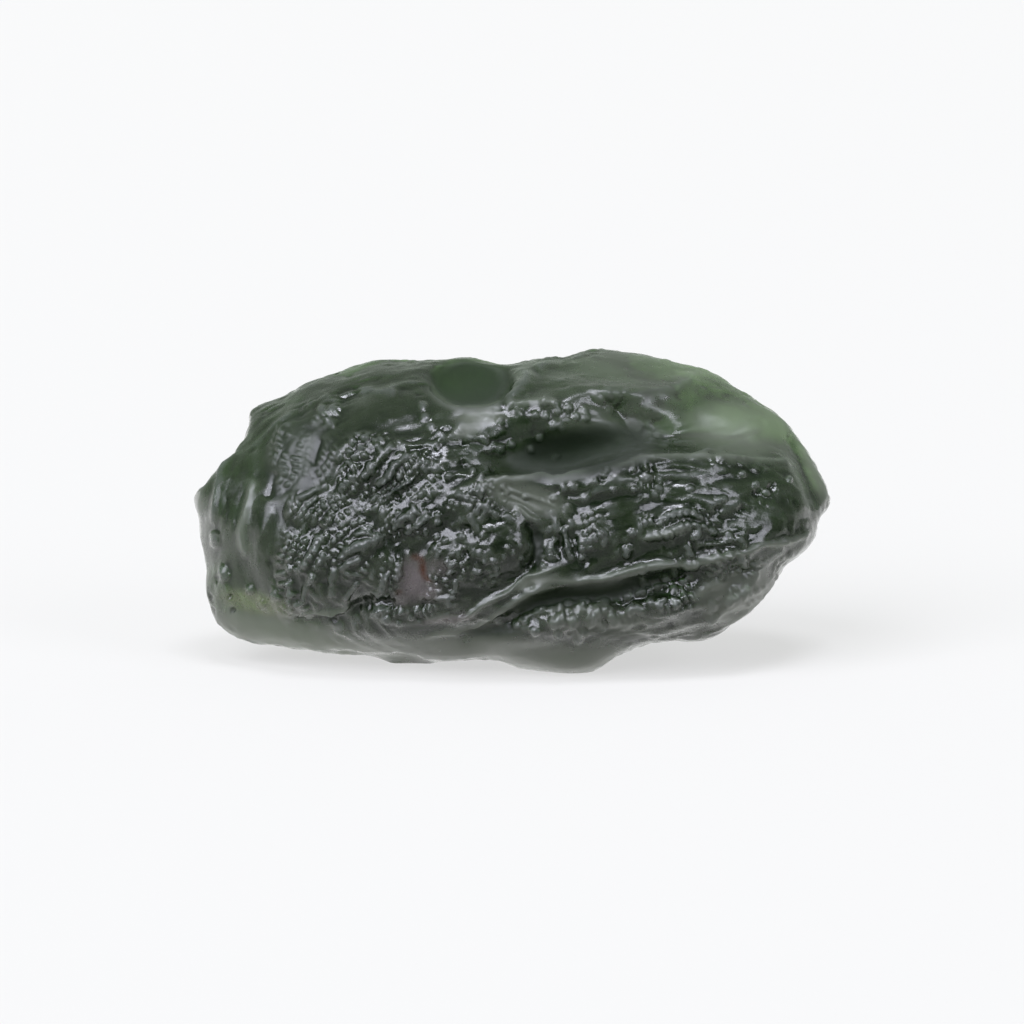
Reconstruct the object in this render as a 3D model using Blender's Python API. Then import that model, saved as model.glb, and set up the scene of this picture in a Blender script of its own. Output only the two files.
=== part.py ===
"""A raw moldavite: one piece of green natural glass, etched and fluted, resting on a small flat spot.

The stone is shaped in its own face frame, in millimetres: "right" and "up" lie in the plane of its
broad face, and "away" points from that face to the back. The face then leans back a little, the
underside is cut flat where the stone rests, and the stone is placed with its flat spot on the ground.
"""

from math import radians, tau

import bmesh
import bpy
import numpy as np
from mathutils import Matrix, Vector, noise

MM = 0.001

# Driving dimensions, in millimetres: the plain oval that the outline wanders about, how far the face
# and the back bulge from the rim, the least thickness between them, and what the flat spot cuts off
HALF_LENGTH = 13.35
HALF_HEIGHT = 6.5
FRONT_BULGE = 6.3
BACK_BULGE = 5.5
THINNEST_WALL = 1.4
FLAT_SPOT_DEPTH = 0.15

# How square the face's bulge and the back's bulge are: 2 is an even oval
FRONT_SQUARENESS = 2.5
BACK_SQUARENESS = 2.3

# How far the broad face leans back from upright
LEAN = radians(10)

# Mesh density of the first skin, the number of triangles kept, and the least angle of a sharp edge
SPHERE_STEPS = 7
TRIANGLES = 9600
SHARP_ANGLE = radians(50)

# The soft lumps of the whole skin: how many to a millimetre, and how high in millimetres
LUMPS = ((0.30, 0.30), (0.75, 0.14))

# Fixes the soft shifts below, so that each run makes the same stone
NOISE_SEED = 7

# How far the pressed hollows wander from a true round: how many turns to a millimetre, and how far
WANDERINGS = ((0.35, 0.7), (0.9, 0.25))

# Where the underside reaches the ground: its half width and its middle along the stone, and the near
# and far ends of the slopes in front of it and behind it
FOOT_HALF_WIDTHS = (2.6, 5.0)
FOOT_MIDDLE = -0.3
FOOT_FRONT = (-0.1, 0.9)
FOOT_BACK = (2.2, 4.2)
FOOT_HEIGHTS = (0.8, 3.0)
FOOT_FILL = 0.97

# The outline of the broad face, right and up from its middle, clockwise from the left tip
OUTLINE = (
    (-13.50, 0.80), (-13.37, 1.39), (-13.08, 1.89), (-12.62, 2.31), (-12.11, 2.78), (-11.57, 3.09),
    (-11.40, 3.45), (-11.31, 4.00), (-11.10, 4.29), (-10.51, 4.54), (-9.55, 4.96), (-8.66, 5.51),
    (-7.99, 5.74), (-7.23, 5.93), (-6.39, 6.25), (-5.64, 6.39), (-4.37, 6.43), (-3.03, 6.50),
    (-2.10, 6.58), (-1.35, 6.43), (-0.63, 6.27), (0.13, 6.33), (0.88, 6.50), (2.52, 6.58),
    (3.15, 6.75), (5.38, 6.67), (6.31, 6.48), (7.23, 6.18), (8.03, 6.04), (8.66, 5.78),
    (9.50, 5.24), (10.43, 4.67), (11.27, 4.12), (12.03, 3.24), (12.70, 2.36), (13.16, 1.56),
    (13.46, 0.84), (13.42, 0.25), (13.16, -0.13), (12.83, -0.21), (12.79, -0.63), (12.62, -1.22),
    (11.78, -1.93), (11.27, -2.48), (11.06, -3.03), (10.35, -3.62), (10.14, -4.08), (9.21, -4.58),
    (8.71, -5.09), (8.03, -5.30), (6.39, -5.38), (5.38, -5.64), (4.25, -6.14), (3.45, -6.64),
    (2.78, -6.75), (1.18, -6.62), (0.21, -6.48), (-0.46, -6.18), (-1.77, -6.12), (-2.78, -6.27),
    (-3.87, -6.43), (-5.00, -6.33), (-5.89, -6.06), (-7.65, -6.01), (-9.00, -5.76), (-10.51, -5.55),
    (-11.69, -5.26), (-12.28, -4.79), (-12.79, -3.87), (-13.00, -3.11), (-12.91, -2.02), (-13.21, -1.09),
    (-13.21, -0.21),
)

# How far away the rim lies at angles round the face, in degrees from "right" towards "up"
RIM_AWAY = (
    (-180, 0.7), (-150, 0.2), (-121, -0.4), (-95, -0.9), (-68, -1.4), (-52, -1.6), (-30, -1.6), (-14, -1.2),
    (-5, -0.5), (4, 0.9), (12, 1.5), (30, 1.9), (60, 2.1), (90, 2.1), (120, 1.7), (150, 1.2), (180, 0.7),
)

# The deep smooth scoop at the top of the face: its middle and radii (right, away, up), and how square it is
SCOOP = (-1.65, -2.9, 6.6)
SCOOP_RADII = (1.9, 3.3, 2.35)
SCOOP_SQUARENESS = 2.6

# Shallow hollows all over the stone: the way each faces (right, away, up), how much longer it is than
# wide, half its width and its depth. The largest meet in crests.
HOLLOWS = (
    ((-0.55, 0.25, 0.80), 1.6, 2.0, 0.34),
    ((-0.28, 0.62, 0.75), 1.6, 1.6, 0.34),
    ((0.05, 0.45, 0.90), 1.5, 1.7, 0.36),
    ((0.34, 0.30, 0.90), 1.4, 1.5, 0.30),
    ((0.52, 0.58, 0.62), 1.7, 1.9, 0.42),
    ((-0.80, 0.45, 0.40), 1.2, 1.9, 0.36),
    ((-0.93, -0.05, 0.30), 1.0, 1.4, 0.24),
    ((-0.96, 0.10, -0.25), 1.0, 1.5, 0.28),
    ((-0.74, 0.66, -0.12), 1.4, 1.9, 0.40),
    ((-0.48, 0.86, 0.22), 1.7, 1.7, 0.40),
    ((-0.10, 0.95, 0.30), 1.8, 1.7, 0.44),
    ((0.28, 0.92, 0.20), 1.4, 1.8, 0.46),
    ((0.68, 0.68, 0.30), 1.4, 2.2, 0.60),
    ((-0.45, 0.80, -0.38), 1.5, 1.7, 0.38),
    ((-0.05, 0.86, -0.40), 1.7, 1.8, 0.42),
    ((0.40, 0.82, -0.35), 1.5, 1.9, 0.44),
    ((0.80, 0.50, -0.38), 1.1, 1.7, 0.38),
    ((0.90, 0.40, 0.08), 1.0, 1.3, 0.28),
    ((-0.75, 0.35, -0.55), 1.4, 1.8, 0.36),
    ((-0.62, -0.10, -0.78), 1.7, 1.5, 0.26),
    ((0.62, 0.25, -0.74), 1.5, 1.6, 0.36),
    ((0.80, -0.30, -0.52), 1.2, 1.1, 0.22),
    ((0.15, 0.62, -0.78), 1.5, 1.4, 0.26),
    ((-0.25, 0.75, 0.52), 1.3, 1.3, 0.26),
)


def smoothstep(low, high, value):
    """0 below low, 1 above high, and an even curve between them."""
    share = np.clip((value - low) / (high - low), 0, 1)
    return share * share * (3 - 2 * share)


def curve_through(points, steps=6):
    """The points of a smooth open curve that passes through the given ones."""
    points = np.array(points, float)
    before = np.vstack([2 * points[0] - points[1], points[:-1]])
    after = np.vstack([points[1:], 2 * points[-1] - points[-2]])
    slopes = (after - before) / 2
    drawn = []
    for start, end, leave, arrive in zip(points, points[1:], slopes, slopes[1:]):
        for t in np.linspace(0, 1, steps, endpoint=False):
            drawn.append(
                start * (2 * t**3 - 3 * t**2 + 1)
                + leave * (t**3 - 2 * t**2 + t)
                + end * (3 * t**2 - 2 * t**3)
                + arrive * (t**3 - t**2)
            )
    return np.array([*drawn, points[-1]])


def follow(line, right, up):
    """Distance from a curve through the line's points, positive on its left, and the share passed."""
    drawn = curve_through(line)
    lengths = np.hypot(*(drawn[1:] - drawn[:-1]).T)
    passed = np.concatenate([[0], np.cumsum(lengths)])
    distance = np.full(right.shape, 1e6)
    share = np.zeros(right.shape)
    for start, end, length, before in zip(drawn, drawn[1:], lengths, passed):
        step = (end - start) / length
        along = np.clip((right - start[0]) * step[0] + (up - start[1]) * step[1], 0, length)
        off_right = right - start[0] - along * step[0]
        off_up = up - start[1] - along * step[1]
        side = np.where(step[0] * off_up - step[1] * off_right < 0, -1, 1)
        away = np.hypot(off_right, off_up)
        nearer = away < np.abs(distance)
        distance = np.where(nearer, side * away, distance)
        share = np.where(nearer, (before + along) / passed[-1], share)
    return distance, share


def tapered(share, ends=0.15):
    """1 along a line, and 0 at its two ends."""
    return smoothstep(0, ends, share) * smoothstep(0, ends, 1 - share)


# The tools below give how far the skin stands out, in millimetres, for points right and up


def ridge(right, up, line, width, height, ends=0.15):
    """A rounded ridge along a line, or a groove where the height is negative."""
    distance, share = follow(line, right, up)
    return height * np.exp(-((distance / width) ** 2)) * tapered(share, ends)


def ledge(right, up, line, drop, lip, reach, ends=0.12):
    """A crest along a line. The skin on its left falls away over the lip and comes back by the reach."""
    distance, share = follow(line, right, up)
    fallen = smoothstep(0, lip, distance) * (1 - smoothstep(lip, reach, distance))
    return -drop * fallen * tapered(share, ends)


def oval(right, up, middle, radii, turn=0.0):
    """How far out of an oval each point is: 0 at its middle and 1 on its edge."""
    across, along = right - middle[0], up - middle[1]
    cosine, sine = np.cos(radians(turn)), np.sin(radians(turn))
    x = (across * cosine + along * sine) / radii[0]
    y = (along * cosine - across * sine) / radii[1]
    return np.hypot(x, y)


def lump(right, up, middle, radii, height, turn=0.0):
    """A soft oval swelling, or a dip where the height is negative."""
    return height * np.exp(-1.5 * oval(right, up, middle, radii, turn) ** 2)


def even_radius(angle):
    """The radius of the plain oval that the outline wanders about."""
    return 1 / np.hypot(np.cos(angle) / HALF_LENGTH, np.sin(angle) / HALF_HEIGHT)


def outline_radius(angle):
    """How far the outline is from the face's middle at each angle, on a smooth closed curve."""
    corners = np.array(OUTLINE)
    turn = np.arctan2(corners[:, 1], corners[:, 0])
    order = np.argsort(turn)
    turn, radius = turn[order], np.hypot(*corners[order].T)
    turn = np.concatenate([turn[-3:] - tau, turn, turn[:3] + tau])
    radius = np.concatenate([radius[-3:], radius, radius[:3]])
    slope = np.gradient(radius, turn)
    i = np.clip(np.searchsorted(turn, angle) - 1, 0, len(turn) - 2)
    span = turn[i + 1] - turn[i]
    t = (angle - turn[i]) / span
    return (
        radius[i] * (2 * t**3 - 3 * t**2 + 1)
        + slope[i] * span * (t**3 - 2 * t**2 + t)
        + radius[i + 1] * (3 * t**2 - 2 * t**3)
        + slope[i + 1] * span * (t**3 - t**2)
    )


def rim_away(angle):
    """How far away the rim lies at each angle."""
    turns, depths = np.array(RIM_AWAY).T
    return np.interp(np.degrees(angle), turns, depths)


def face_relief(right, up):
    """The main forms of the broad face: its shoulder, trough, ledges, lobes and shell-like steps."""
    stands = np.zeros(right.shape)

    # The shoulder that crosses the face, with the trough behind it
    shoulder = (
        (-2.6, 0.9), (-1.1, 1.28), (0.3, 1.36), (1.3, 1.50), (1.9, 1.38), (2.7, 1.51), (4.0, 1.90),
        (5.6, 2.32), (7.3, 2.27), (9.6, 2.20), (11.4, 2.12), (12.4, 1.6),
    )
    stands += ledge(right, up, shoulder, 1.5, 0.6, 4.0, 0.24)
    stands += lump(right, up, (2.6, 2.35), (3.1, 1.0), -1.2, 10)
    stands += lump(right, up, (8.9, 3.2), (3.0, 1.1), -1.0, -8)
    stands += ridge(right, up, shoulder, 0.5, 0.4)

    # Folds that run down into the trough from the top lobe
    stands += ridge(right, up, ((3.0, 4.9), (4.6, 4.0), (6.2, 3.2), (7.4, 2.6)), 0.5, -0.4, 0.4)
    stands += ridge(right, up, ((5.2, 4.6), (6.6, 3.9), (7.4, 3.2)), 0.45, 0.3, 0.4)
    stands += ridge(right, up, ((8.2, 2.7), (9.8, 2.9), (11.0, 3.5)), 0.4, 0.35, 0.4)
    stands += lump(right, up, (4.7, 3.1), (1.5, 0.7), 0.45, -20)

    # The shallow dish in the top lobe, and the rim below it
    rim = ((0.4, 4.6), (2.0, 4.65), (3.6, 5.1), (5.4, 4.95), (7.0, 5.25), (8.0, 5.8))
    stands += ridge(right, up, rim, 0.3, 0.42)
    stands += lump(right, up, (5.2, 5.85), (2.5, 0.65), -0.55)

    # The flange that stands behind the right end, and the furrow between them
    furrow = ((10.6, 4.4), (11.5, 3.3), (12.1, 1.9), (12.45, 0.9), (12.75, -0.3))
    distance, share = follow(furrow, right, up)
    stands -= 1.8 * smoothstep(-0.5, 0.2, distance) * smoothstep(0, 0.4, share)
    stands -= 0.6 * np.exp(-((distance / 0.3) ** 2)) * tapered(share, 0.25)

    # The long lower ledge with the valley under it, and the crest that leaves it to the right
    lower = (
        (8.1, -1.95), (6.8, -2.2), (5.4, -2.55), (3.9, -2.95), (2.6, -3.0), (1.2, -3.15), (0.3, -3.6),
        (-0.9, -4.25), (-2.2, -4.65), (-3.6, -4.85),
    )
    stands += ledge(right, up, lower, 0.85, 0.4, 1.7)
    stands += ridge(right, up, lower, 0.3, 0.25)
    upper = ((12.6, -0.7), (11.3, -1.15), (9.9, -1.7), (8.3, -2.05))
    stands += ledge(right, up, upper, 0.7, 0.4, 1.7)
    stands += ridge(right, up, ((8.2, -0.8), (6.9, -0.85), (5.6, -1.15), (4.6, -1.7)), 0.3, 0.22)
    stands += ridge(right, up, ((11.4, -2.0), (9.8, -2.9), (8.4, -4.0), (7.9, -4.9)), 0.35, -0.35)

    # The granular swelling under the ledge, and the smooth skirt below it
    stands += lump(right, up, (2.9, -4.4), (2.6, 0.65), 0.5, 4)
    stands += lump(right, up, (6.4, -4.1), (1.9, 0.8), 0.4, 8)
    skirt = ((8.2, -5.1), (5.4, -5.0), (1.0, -5.2), (-4.0, -5.25), (-7.0, -4.8), (-9.4, -4.2), (-11.6, -3.2))
    stands += ledge(right, up, skirt, 0.55, 0.5, 2.4)

    # The lens-shaped boss in the middle, with its furrows, and the flake scar above it
    stands += lump(right, up, (-0.3, -1.5), (1.5, 1.1), 0.5, 30)
    stands += ridge(right, up, ((0.9, -0.2), (1.15, -1.2), (0.8, -2.3), (-0.3, -3.0)), 0.3, -0.45)
    stands += ridge(right, up, ((1.6, -0.4), (1.9, -1.1), (1.8, -2.0)), 0.25, -0.3)
    stands += lump(right, up, (0.7, 0.35), (1.2, 0.5), -0.35, -25)

    # The swellings of the left half, with low ground between them
    stands += lump(right, up, (-5.9, 2.1), (1.5, 1.3), 0.35, 35)
    stands += lump(right, up, (-4.1, -0.2), (1.2, 0.8), 0.30, 25)
    stands += lump(right, up, (-6.5, -1.7), (1.3, 0.9), 0.30, 50)
    stands += lump(right, up, (-8.7, -2.6), (0.6, 1.6), 0.30, -20)
    stands += ridge(right, up, ((-7.8, 0.2), (-6.3, 0.6), (-4.6, 0.9), (-2.9, 2.0)), 0.45, -0.30)
    low_ground = ((-7.9, -3.6), (-7.4, -2.0), (-6.2, -0.5), (-4.6, -1.1), (-2.6, -0.9))
    stands += ridge(right, up, low_ground, 0.4, -0.28)

    # The gash at the lower left, and the low hollow beside the middle
    stands += ridge(right, up, ((-7.4, -4.35), (-6.5, -3.85), (-5.4, -3.75), (-4.4, -3.95)), 0.24, -0.5)
    stands += ledge(right, up, ((-4.9, -3.7), (-6.3, -3.95), (-7.4, -4.2), (-9.2, -4.1)), 0.3, 0.2, 1.0)
    stands += lump(right, up, (-3.9, -2.75), (0.75, 1.0), -0.25)

    # Steps like the edges of a shell, round the left end
    steps = (
        (((-7.2, 6.3), (-8.9, 4.7), (-10.0, 2.6), (-10.6, 0.2), (-10.5, -2.4), (-9.6, -4.2)), 0.40, 0.3, 1.6),
        (((-4.6, 5.1), (-6.8, 4.0), (-8.2, 2.2), (-9.1, 0.0), (-9.4, -2.2), (-9.3, -4.0)), 0.34, 0.3, 1.2),
        (((-2.6, 3.3), (-5.0, 2.9), (-6.9, 1.4), (-7.9, -0.4), (-8.6, -2.4), (-8.9, -4.0)), 0.34, 0.25, 1.1),
        (((-11.4, 3.5), (-12.1, 1.6), (-12.3, -0.4), (-12.1, -2.4)), 0.32, 0.3, 1.0),
    )
    for line, drop, lip, reach in steps:
        stands += ledge(right, up, line[::-1], drop, lip, reach)
    return stands


def back_relief(right, up):
    """The main forms of the hidden side: two long crests, steps round one end and a deep dish."""
    stands = np.zeros(right.shape)
    stands += ledge(right, up, ((-9.5, 2.6), (-5.5, 2.2), (-1.5, 0.9), (2.5, 0.6), (6.5, -0.6)), 0.8, 0.8, 3.0)
    stands += ledge(right, up, ((8.6, -2.6), (5.0, -2.4), (1.2, -3.0), (-2.6, -2.8), (-6.4, -3.4)), 0.6, 0.7, 2.2)
    stands += lump(right, up, (8.0, 3.4), (3.6, 2.2), -1.2, -12)
    stands += lump(right, up, (3.4, 3.4), (1.9, 1.3), 0.5, 10)
    stands += ledge(right, up, ((-10.9, -2.5), (-10.0, 0.2), (-8.6, 2.4), (-6.4, 4.2)), 0.4, 0.5, 1.4)
    stands += ledge(right, up, ((-9.0, -3.5), (-8.2, -0.6), (-6.8, 1.4), (-4.6, 3.0)), 0.35, 0.5, 1.4)
    return stands


def skin(directions):
    """Where the skin lies in each direction from the stone's middle: right, away and up."""
    angle = np.arctan2(directions[:, 2], directions[:, 0])
    spread = np.hypot(directions[:, 0], directions[:, 2])
    near_rim = spread**5
    radius = spread * (near_rim * outline_radius(angle) + (1 - near_rim) * even_radius(angle))
    right, up = radius * np.cos(angle), radius * np.sin(angle)
    rim = rim_away(angle) * spread**4
    inside = 1 - spread**6

    front = rim - FRONT_BULGE * np.sqrt(np.clip(1 - spread**FRONT_SQUARENESS, 0, 1))
    front -= face_relief(right, up) * inside

    back = rim + BACK_BULGE * np.sqrt(np.clip(1 - spread**BACK_SQUARENESS, 0, 1))
    back += back_relief(right, up) * inside
    front = np.minimum(front, back - THINNEST_WALL * inside)
    away = np.where(directions[:, 1] < 0, front, back)
    return np.stack([right, away, up], axis=1)


def places(mesh):
    """Where the mesh's points are, as rows of an array."""
    return np.array([vertex.co for vertex in mesh.verts])


def move_to(mesh, points):
    for vertex, point in zip(mesh.verts, points):
        vertex.co = point


def pressed_in(points, middle, radii, lip=0.2, squareness=2.0):
    """The points, with those inside an egg-shaped tool pushed out to its wall, and the lip rounded."""
    reach = (points - middle) / radii
    far = np.maximum(np.linalg.norm(reach, squareness, axis=1), 1e-9)
    soft = lip / min(radii)
    share = np.clip(0.5 + 0.5 * (far - 1) / soft, 0, 1)
    pushed = 1 + (far - 1) * share + soft * share * (1 - share)
    return middle + reach * (pushed / far)[:, None] * radii


def wander(points, pace, height):
    """Soft sideways shifts, one for each point, that make a round tool cut an uneven hollow."""
    noise.seed_set(NOISE_SEED)
    return height * np.array([noise.noise_vector(Vector(point) * pace) for point in points])


def press_hollows(mesh, directions):
    """Presses the shallow hollows into the skin."""
    mesh.normal_update()
    points = places(mesh)
    shifts = sum(wander(points, pace, height) for pace, height in WANDERINGS)
    points += shifts
    normals = np.array([vertex.normal for vertex in mesh.verts])
    for way, stretch, width, depth in HOLLOWS:
        at = np.argmax(directions @ np.array(way) / np.linalg.norm(way))
        radius = (width**2 + depth**2) / (2 * depth)
        middle = points[at] + normals[at] * (radius - depth)
        points = pressed_in(points, middle, radius * np.array([stretch, 1, 1]), 0.15)
    move_to(mesh, points - shifts)


def smooth(mesh, times):
    every_axis = {"use_axis_x": True, "use_axis_y": True, "use_axis_z": True}
    for _ in range(times):
        bmesh.ops.smooth_vert(mesh, verts=mesh.verts, factor=0.5, **every_axis)


def roughen(mesh):
    """Moves the skin in and out by soft lumps, less near the outline."""
    mesh.normal_update()
    for vertex in mesh.verts:
        calm = 0.35 + 0.65 * abs(vertex.normal.y)
        for pace, height in LUMPS:
            vertex.co += vertex.normal * height * calm * noise.noise(vertex.co * pace)


def shaped_stone():
    """The whole skin as a closed mesh in the face frame, in millimetres."""
    mesh = bmesh.new()
    bmesh.ops.create_icosphere(mesh, subdivisions=SPHERE_STEPS, radius=1.0)
    directions = np.array([vertex.co.normalized() for vertex in mesh.verts])
    move_to(mesh, skin(directions))
    smooth(mesh, 2)
    press_hollows(mesh, directions)
    scooped = pressed_in(places(mesh), np.array(SCOOP), np.array(SCOOP_RADII), 0.2, SCOOP_SQUARENESS)
    move_to(mesh, scooped)
    roughen(mesh)
    smooth(mesh, 1)
    return mesh


def lean_back(mesh):
    """Turns the stone so that its face leans back from upright."""
    bmesh.ops.rotate(mesh, verts=mesh.verts, cent=(0, 0, 0), matrix=Matrix.Rotation(-LEAN, 3, "X"))


def settle_underside(mesh):
    """Fills the underside out towards the ground behind the front feet, so that the stone rests there."""
    ground = min(vertex.co.z for vertex in mesh.verts)
    for vertex in mesh.verts:
        behind = smoothstep(*FOOT_FRONT, vertex.co.y) * (1 - smoothstep(*FOOT_BACK, vertex.co.y))
        low = 1 - smoothstep(*FOOT_HEIGHTS, vertex.co.z - ground)
        within = 1 - smoothstep(*FOOT_HALF_WIDTHS, abs(vertex.co.x - FOOT_MIDDLE))
        vertex.co.z -= (vertex.co.z - ground) * FOOT_FILL * behind * low * within
    return ground


def thinned(mesh, name):
    """The mesh as an object, with only as many triangles as its form needs."""
    data = bpy.data.meshes.new(name)
    mesh.to_mesh(data)
    whole = bpy.data.objects.new(name, data)
    bpy.context.scene.collection.objects.link(whole)
    fewer = whole.modifiers.new("fewer", "DECIMATE")
    fewer.ratio = TRIANGLES / len(data.polygons)
    graph = bpy.context.evaluated_depsgraph_get()
    thin = bpy.data.meshes.new_from_object(whole.evaluated_get(graph))
    bpy.data.objects.remove(whole)
    bpy.data.meshes.remove(data)
    return thin


def cut_flat(mesh, height):
    """Cuts off what lies below a level plane and closes the cut with flat faces."""
    everything = [*mesh.verts, *mesh.edges, *mesh.faces]
    cut = bmesh.ops.bisect_plane(
        mesh, geom=everything, dist=1e-6, plane_co=(0, 0, height), plane_no=(0, 0, -1), clear_outer=True
    )
    edges = [item for item in cut["geom_cut"] if isinstance(item, bmesh.types.BMEdge)]
    bmesh.ops.holes_fill(mesh, edges=edges)
    bmesh.ops.triangulate(mesh, faces=[face for face in mesh.faces if len(face.verts) > 3])


def place_on_ground(mesh):
    """Puts the middle of the stone's box over the origin and its flat spot on the ground, in metres."""
    points = places(mesh)
    low, high = points.min(axis=0), points.max(axis=0)
    middle = Vector(((low[0] + high[0]) / 2, (low[1] + high[1]) / 2, low[2]))
    bmesh.ops.translate(mesh, verts=mesh.verts, vec=-middle)
    bmesh.ops.scale(mesh, verts=mesh.verts, vec=(MM, MM, MM))


def green_glass():
    """Dark bottle-green glass with a dull natural skin."""
    material = bpy.data.materials.new("green_glass")
    material.use_nodes = True
    shader = material.node_tree.nodes["Principled BSDF"]
    shader.inputs["Base Color"].default_value = (0.07, 0.10, 0.05, 1)
    shader.inputs["Roughness"].default_value = 0.35
    shader.inputs["Metallic"].default_value = 0.0
    shader.inputs["IOR"].default_value = 1.49
    return material


def make_moldavite(collection):
    """The one solid piece of the object."""
    mesh = shaped_stone()
    lean_back(mesh)
    ground = settle_underside(mesh)
    data = thinned(mesh, "moldavite")
    mesh.clear()
    mesh.from_mesh(data)
    cut_flat(mesh, ground + FLAT_SPOT_DEPTH)
    place_on_ground(mesh)
    mesh.to_mesh(data)
    mesh.free()
    data.shade_smooth()
    data.set_sharp_from_angle(angle=SHARP_ANGLE)
    data.materials.clear()
    data.materials.append(green_glass())
    stone = bpy.data.objects.new("moldavite", data)
    collection.objects.link(stone)
    return stone


def main():
    for old in list(bpy.data.objects):
        bpy.data.objects.remove(old)
    collection = bpy.data.collections.new("moldavite")
    bpy.context.scene.collection.children.link(collection)
    make_moldavite(collection)


main()
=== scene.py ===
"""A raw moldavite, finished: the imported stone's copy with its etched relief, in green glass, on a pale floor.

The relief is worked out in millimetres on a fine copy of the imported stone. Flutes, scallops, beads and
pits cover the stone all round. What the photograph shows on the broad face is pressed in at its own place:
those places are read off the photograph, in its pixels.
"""

from math import cos, pi, radians, sin, tan

import bmesh
import bpy
import numpy as np
from mathutils import Matrix, Vector, noise


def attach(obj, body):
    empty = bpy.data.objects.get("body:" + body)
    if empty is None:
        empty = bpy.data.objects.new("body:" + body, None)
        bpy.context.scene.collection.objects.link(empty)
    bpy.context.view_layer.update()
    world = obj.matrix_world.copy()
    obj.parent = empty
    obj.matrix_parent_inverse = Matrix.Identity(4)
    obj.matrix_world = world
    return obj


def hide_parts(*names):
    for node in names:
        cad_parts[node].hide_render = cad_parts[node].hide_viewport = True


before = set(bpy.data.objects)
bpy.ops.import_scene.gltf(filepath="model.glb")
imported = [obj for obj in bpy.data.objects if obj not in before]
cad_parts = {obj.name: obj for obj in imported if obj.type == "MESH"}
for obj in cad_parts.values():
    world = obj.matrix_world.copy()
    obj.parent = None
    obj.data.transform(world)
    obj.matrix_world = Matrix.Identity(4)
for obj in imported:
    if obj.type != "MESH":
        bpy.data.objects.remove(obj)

MM = 0.001

# The camera looks at the stone's middle from this far, in millimetres, and from this angle above level
FACE_MIDDLE = (0.017, 0.650, 6.283)
CAMERA_DISTANCE = 300.0
CAMERA_ELEVATION = radians(10)
SENSOR = 36.0

# The photograph's width in pixels, and the stone's length in them and in millimetres
PHOTO_SIDE = 1024
STONE_PIXELS = 642
STONE_LENGTH = 27.0
MM_PER_PIXEL = STONE_LENGTH / STONE_PIXELS

# The fine skin: its first voxel in millimetres, the smoothing passes, and the triangles that are kept
VOXEL = 0.066
SMOOTHINGS = 14
TRIANGLES = 192000

# How many times each point is evened with its neighbours everywhere, and how many more where the face is calm
ROUNDINGS = 30
CALM_ROUNDINGS = 40

# How high above the ground the relief begins and reaches its full height, in millimetres
GROUND_FADE = (0.08, 0.7)

# Up to the second of these heights, in millimetres, the points are pressed towards the ground
GROUND_SQUASH = (-0.02, 0.12)

# Between these heights, in millimetres, the evening begins to move the points up and down as well
GROUND_ROUNDING = (0.1, 2.6)

# How much stronger the listed forms stand than the heights written for them
HAND = 1.25

# How high a patch of rows stands above its surroundings, in millimetres
ROW_MOUND = 0.10

# How far the rungs across the rows are apart, and the fine rungs across the mounds, in millimetres
RUNG_PITCH = 0.30
FINE_RUNG_PITCH = 0.24

# How much wider the listed drops stand than the radii written for them
BEAD_SPREAD = 1.35

# Crests narrower than this, in millimetres, are frosted along their tops: rougher, and painted pale as a sheen
FROSTED_WIDTH = 0.22

# The relief that covers the stone: the sizes of its cells along, across and through the flutes, how far
# they sway, where their random points start, and how deep they are, in millimetres
FLUTES = ((3.2, 1.25, 2.4), 0.7, 0.0, 0.14)
SCALLOPS = ((1.15, 0.52, 0.9), 0.45, 31.0, 0.10)
FINE_SCALLOPS = ((0.52, 0.27, 0.4), 0.3, 17.0, 0.03)
DROPS = ((0.42, 0.5, 0.5), 0.3, 57.0, 0.10)

# How far from a cell's middle its hollow or its drop reaches, where the cells are one apart
HOLLOW_REACH = 0.75
DROP_REACH = 0.6

# How much deeper the scallops are on the hidden side
HIDDEN_SCALLOPS = 0.05

# The pits that cover the stone: one to a cell of this size, this deep, in millimetres
PIT_CELL = 1.05
PIT_DEPTH = 0.13

# How many times the relief is evened to find what stands proud of its near and of its wide surroundings,
# and how far above each a point stands where it is painted fully pale as a sheen, in millimetres; points below
# their surroundings are painted darker as shade
NEAR_PASSES = 24
NEAR_STEP = 0.11
WIDE_PASSES = 120
WIDE_STEP = 0.16

# How far a point that stands level with its surroundings lies between the painted shade of the hollows and the
# painted sheen of the crests
LEVEL_CREST = 0.45

# The glass: how much light it lets through, how it bends it, and what it takes from it on the way
TRANSMISSION = 0.93
GLASS_IOR = 1.5
BODY_COLOUR = (0.37, 0.50, 0.29, 1)
BODY_DENSITY = 750.0

# The skin's colours, from the painted shade of its hollows to the painted sheen of its crests, and where it is
# marked
HOLLOW_SHADE_COLOUR = (0.035, 0.075, 0.02)
MIDDLE_COLOUR = (0.13, 0.20, 0.085)
CREST_SHEEN_COLOUR = (0.46, 0.53, 0.44)
# Frosted crest tops, painted pale as a sheen
FROST_SHEEN_COLOUR = (0.70, 0.80, 0.60)
# Painted glow of light through thin glass, and painted highlights and reflections
PAINTED_GLOW_COLOUR = (0.78, 0.87, 0.66)
# Painted shade in the scoop, troughs and grooves
PAINTED_SHADE_COLOUR = (0.04, 0.085, 0.02)
MOSS_COLOUR = (0.62, 0.70, 0.36)
PINK_COLOUR = (0.97, 0.82, 0.82)
RED_COLOUR = (0.42, 0.12, 0.04)

# How much the marks roughen the skin
FROST_ROUGHNESS = 0.12
PALE_ROUGHNESS = 0.16
DEEP_ROUGHNESS = 0.78

# The depth of the finest relief, in millimetres, how strongly it shows, and the beads' share of it
BUMP_DEPTH = 0.05
BUMP_STRENGTH = 0.4
BEAD_BUMP = 0.8

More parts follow.
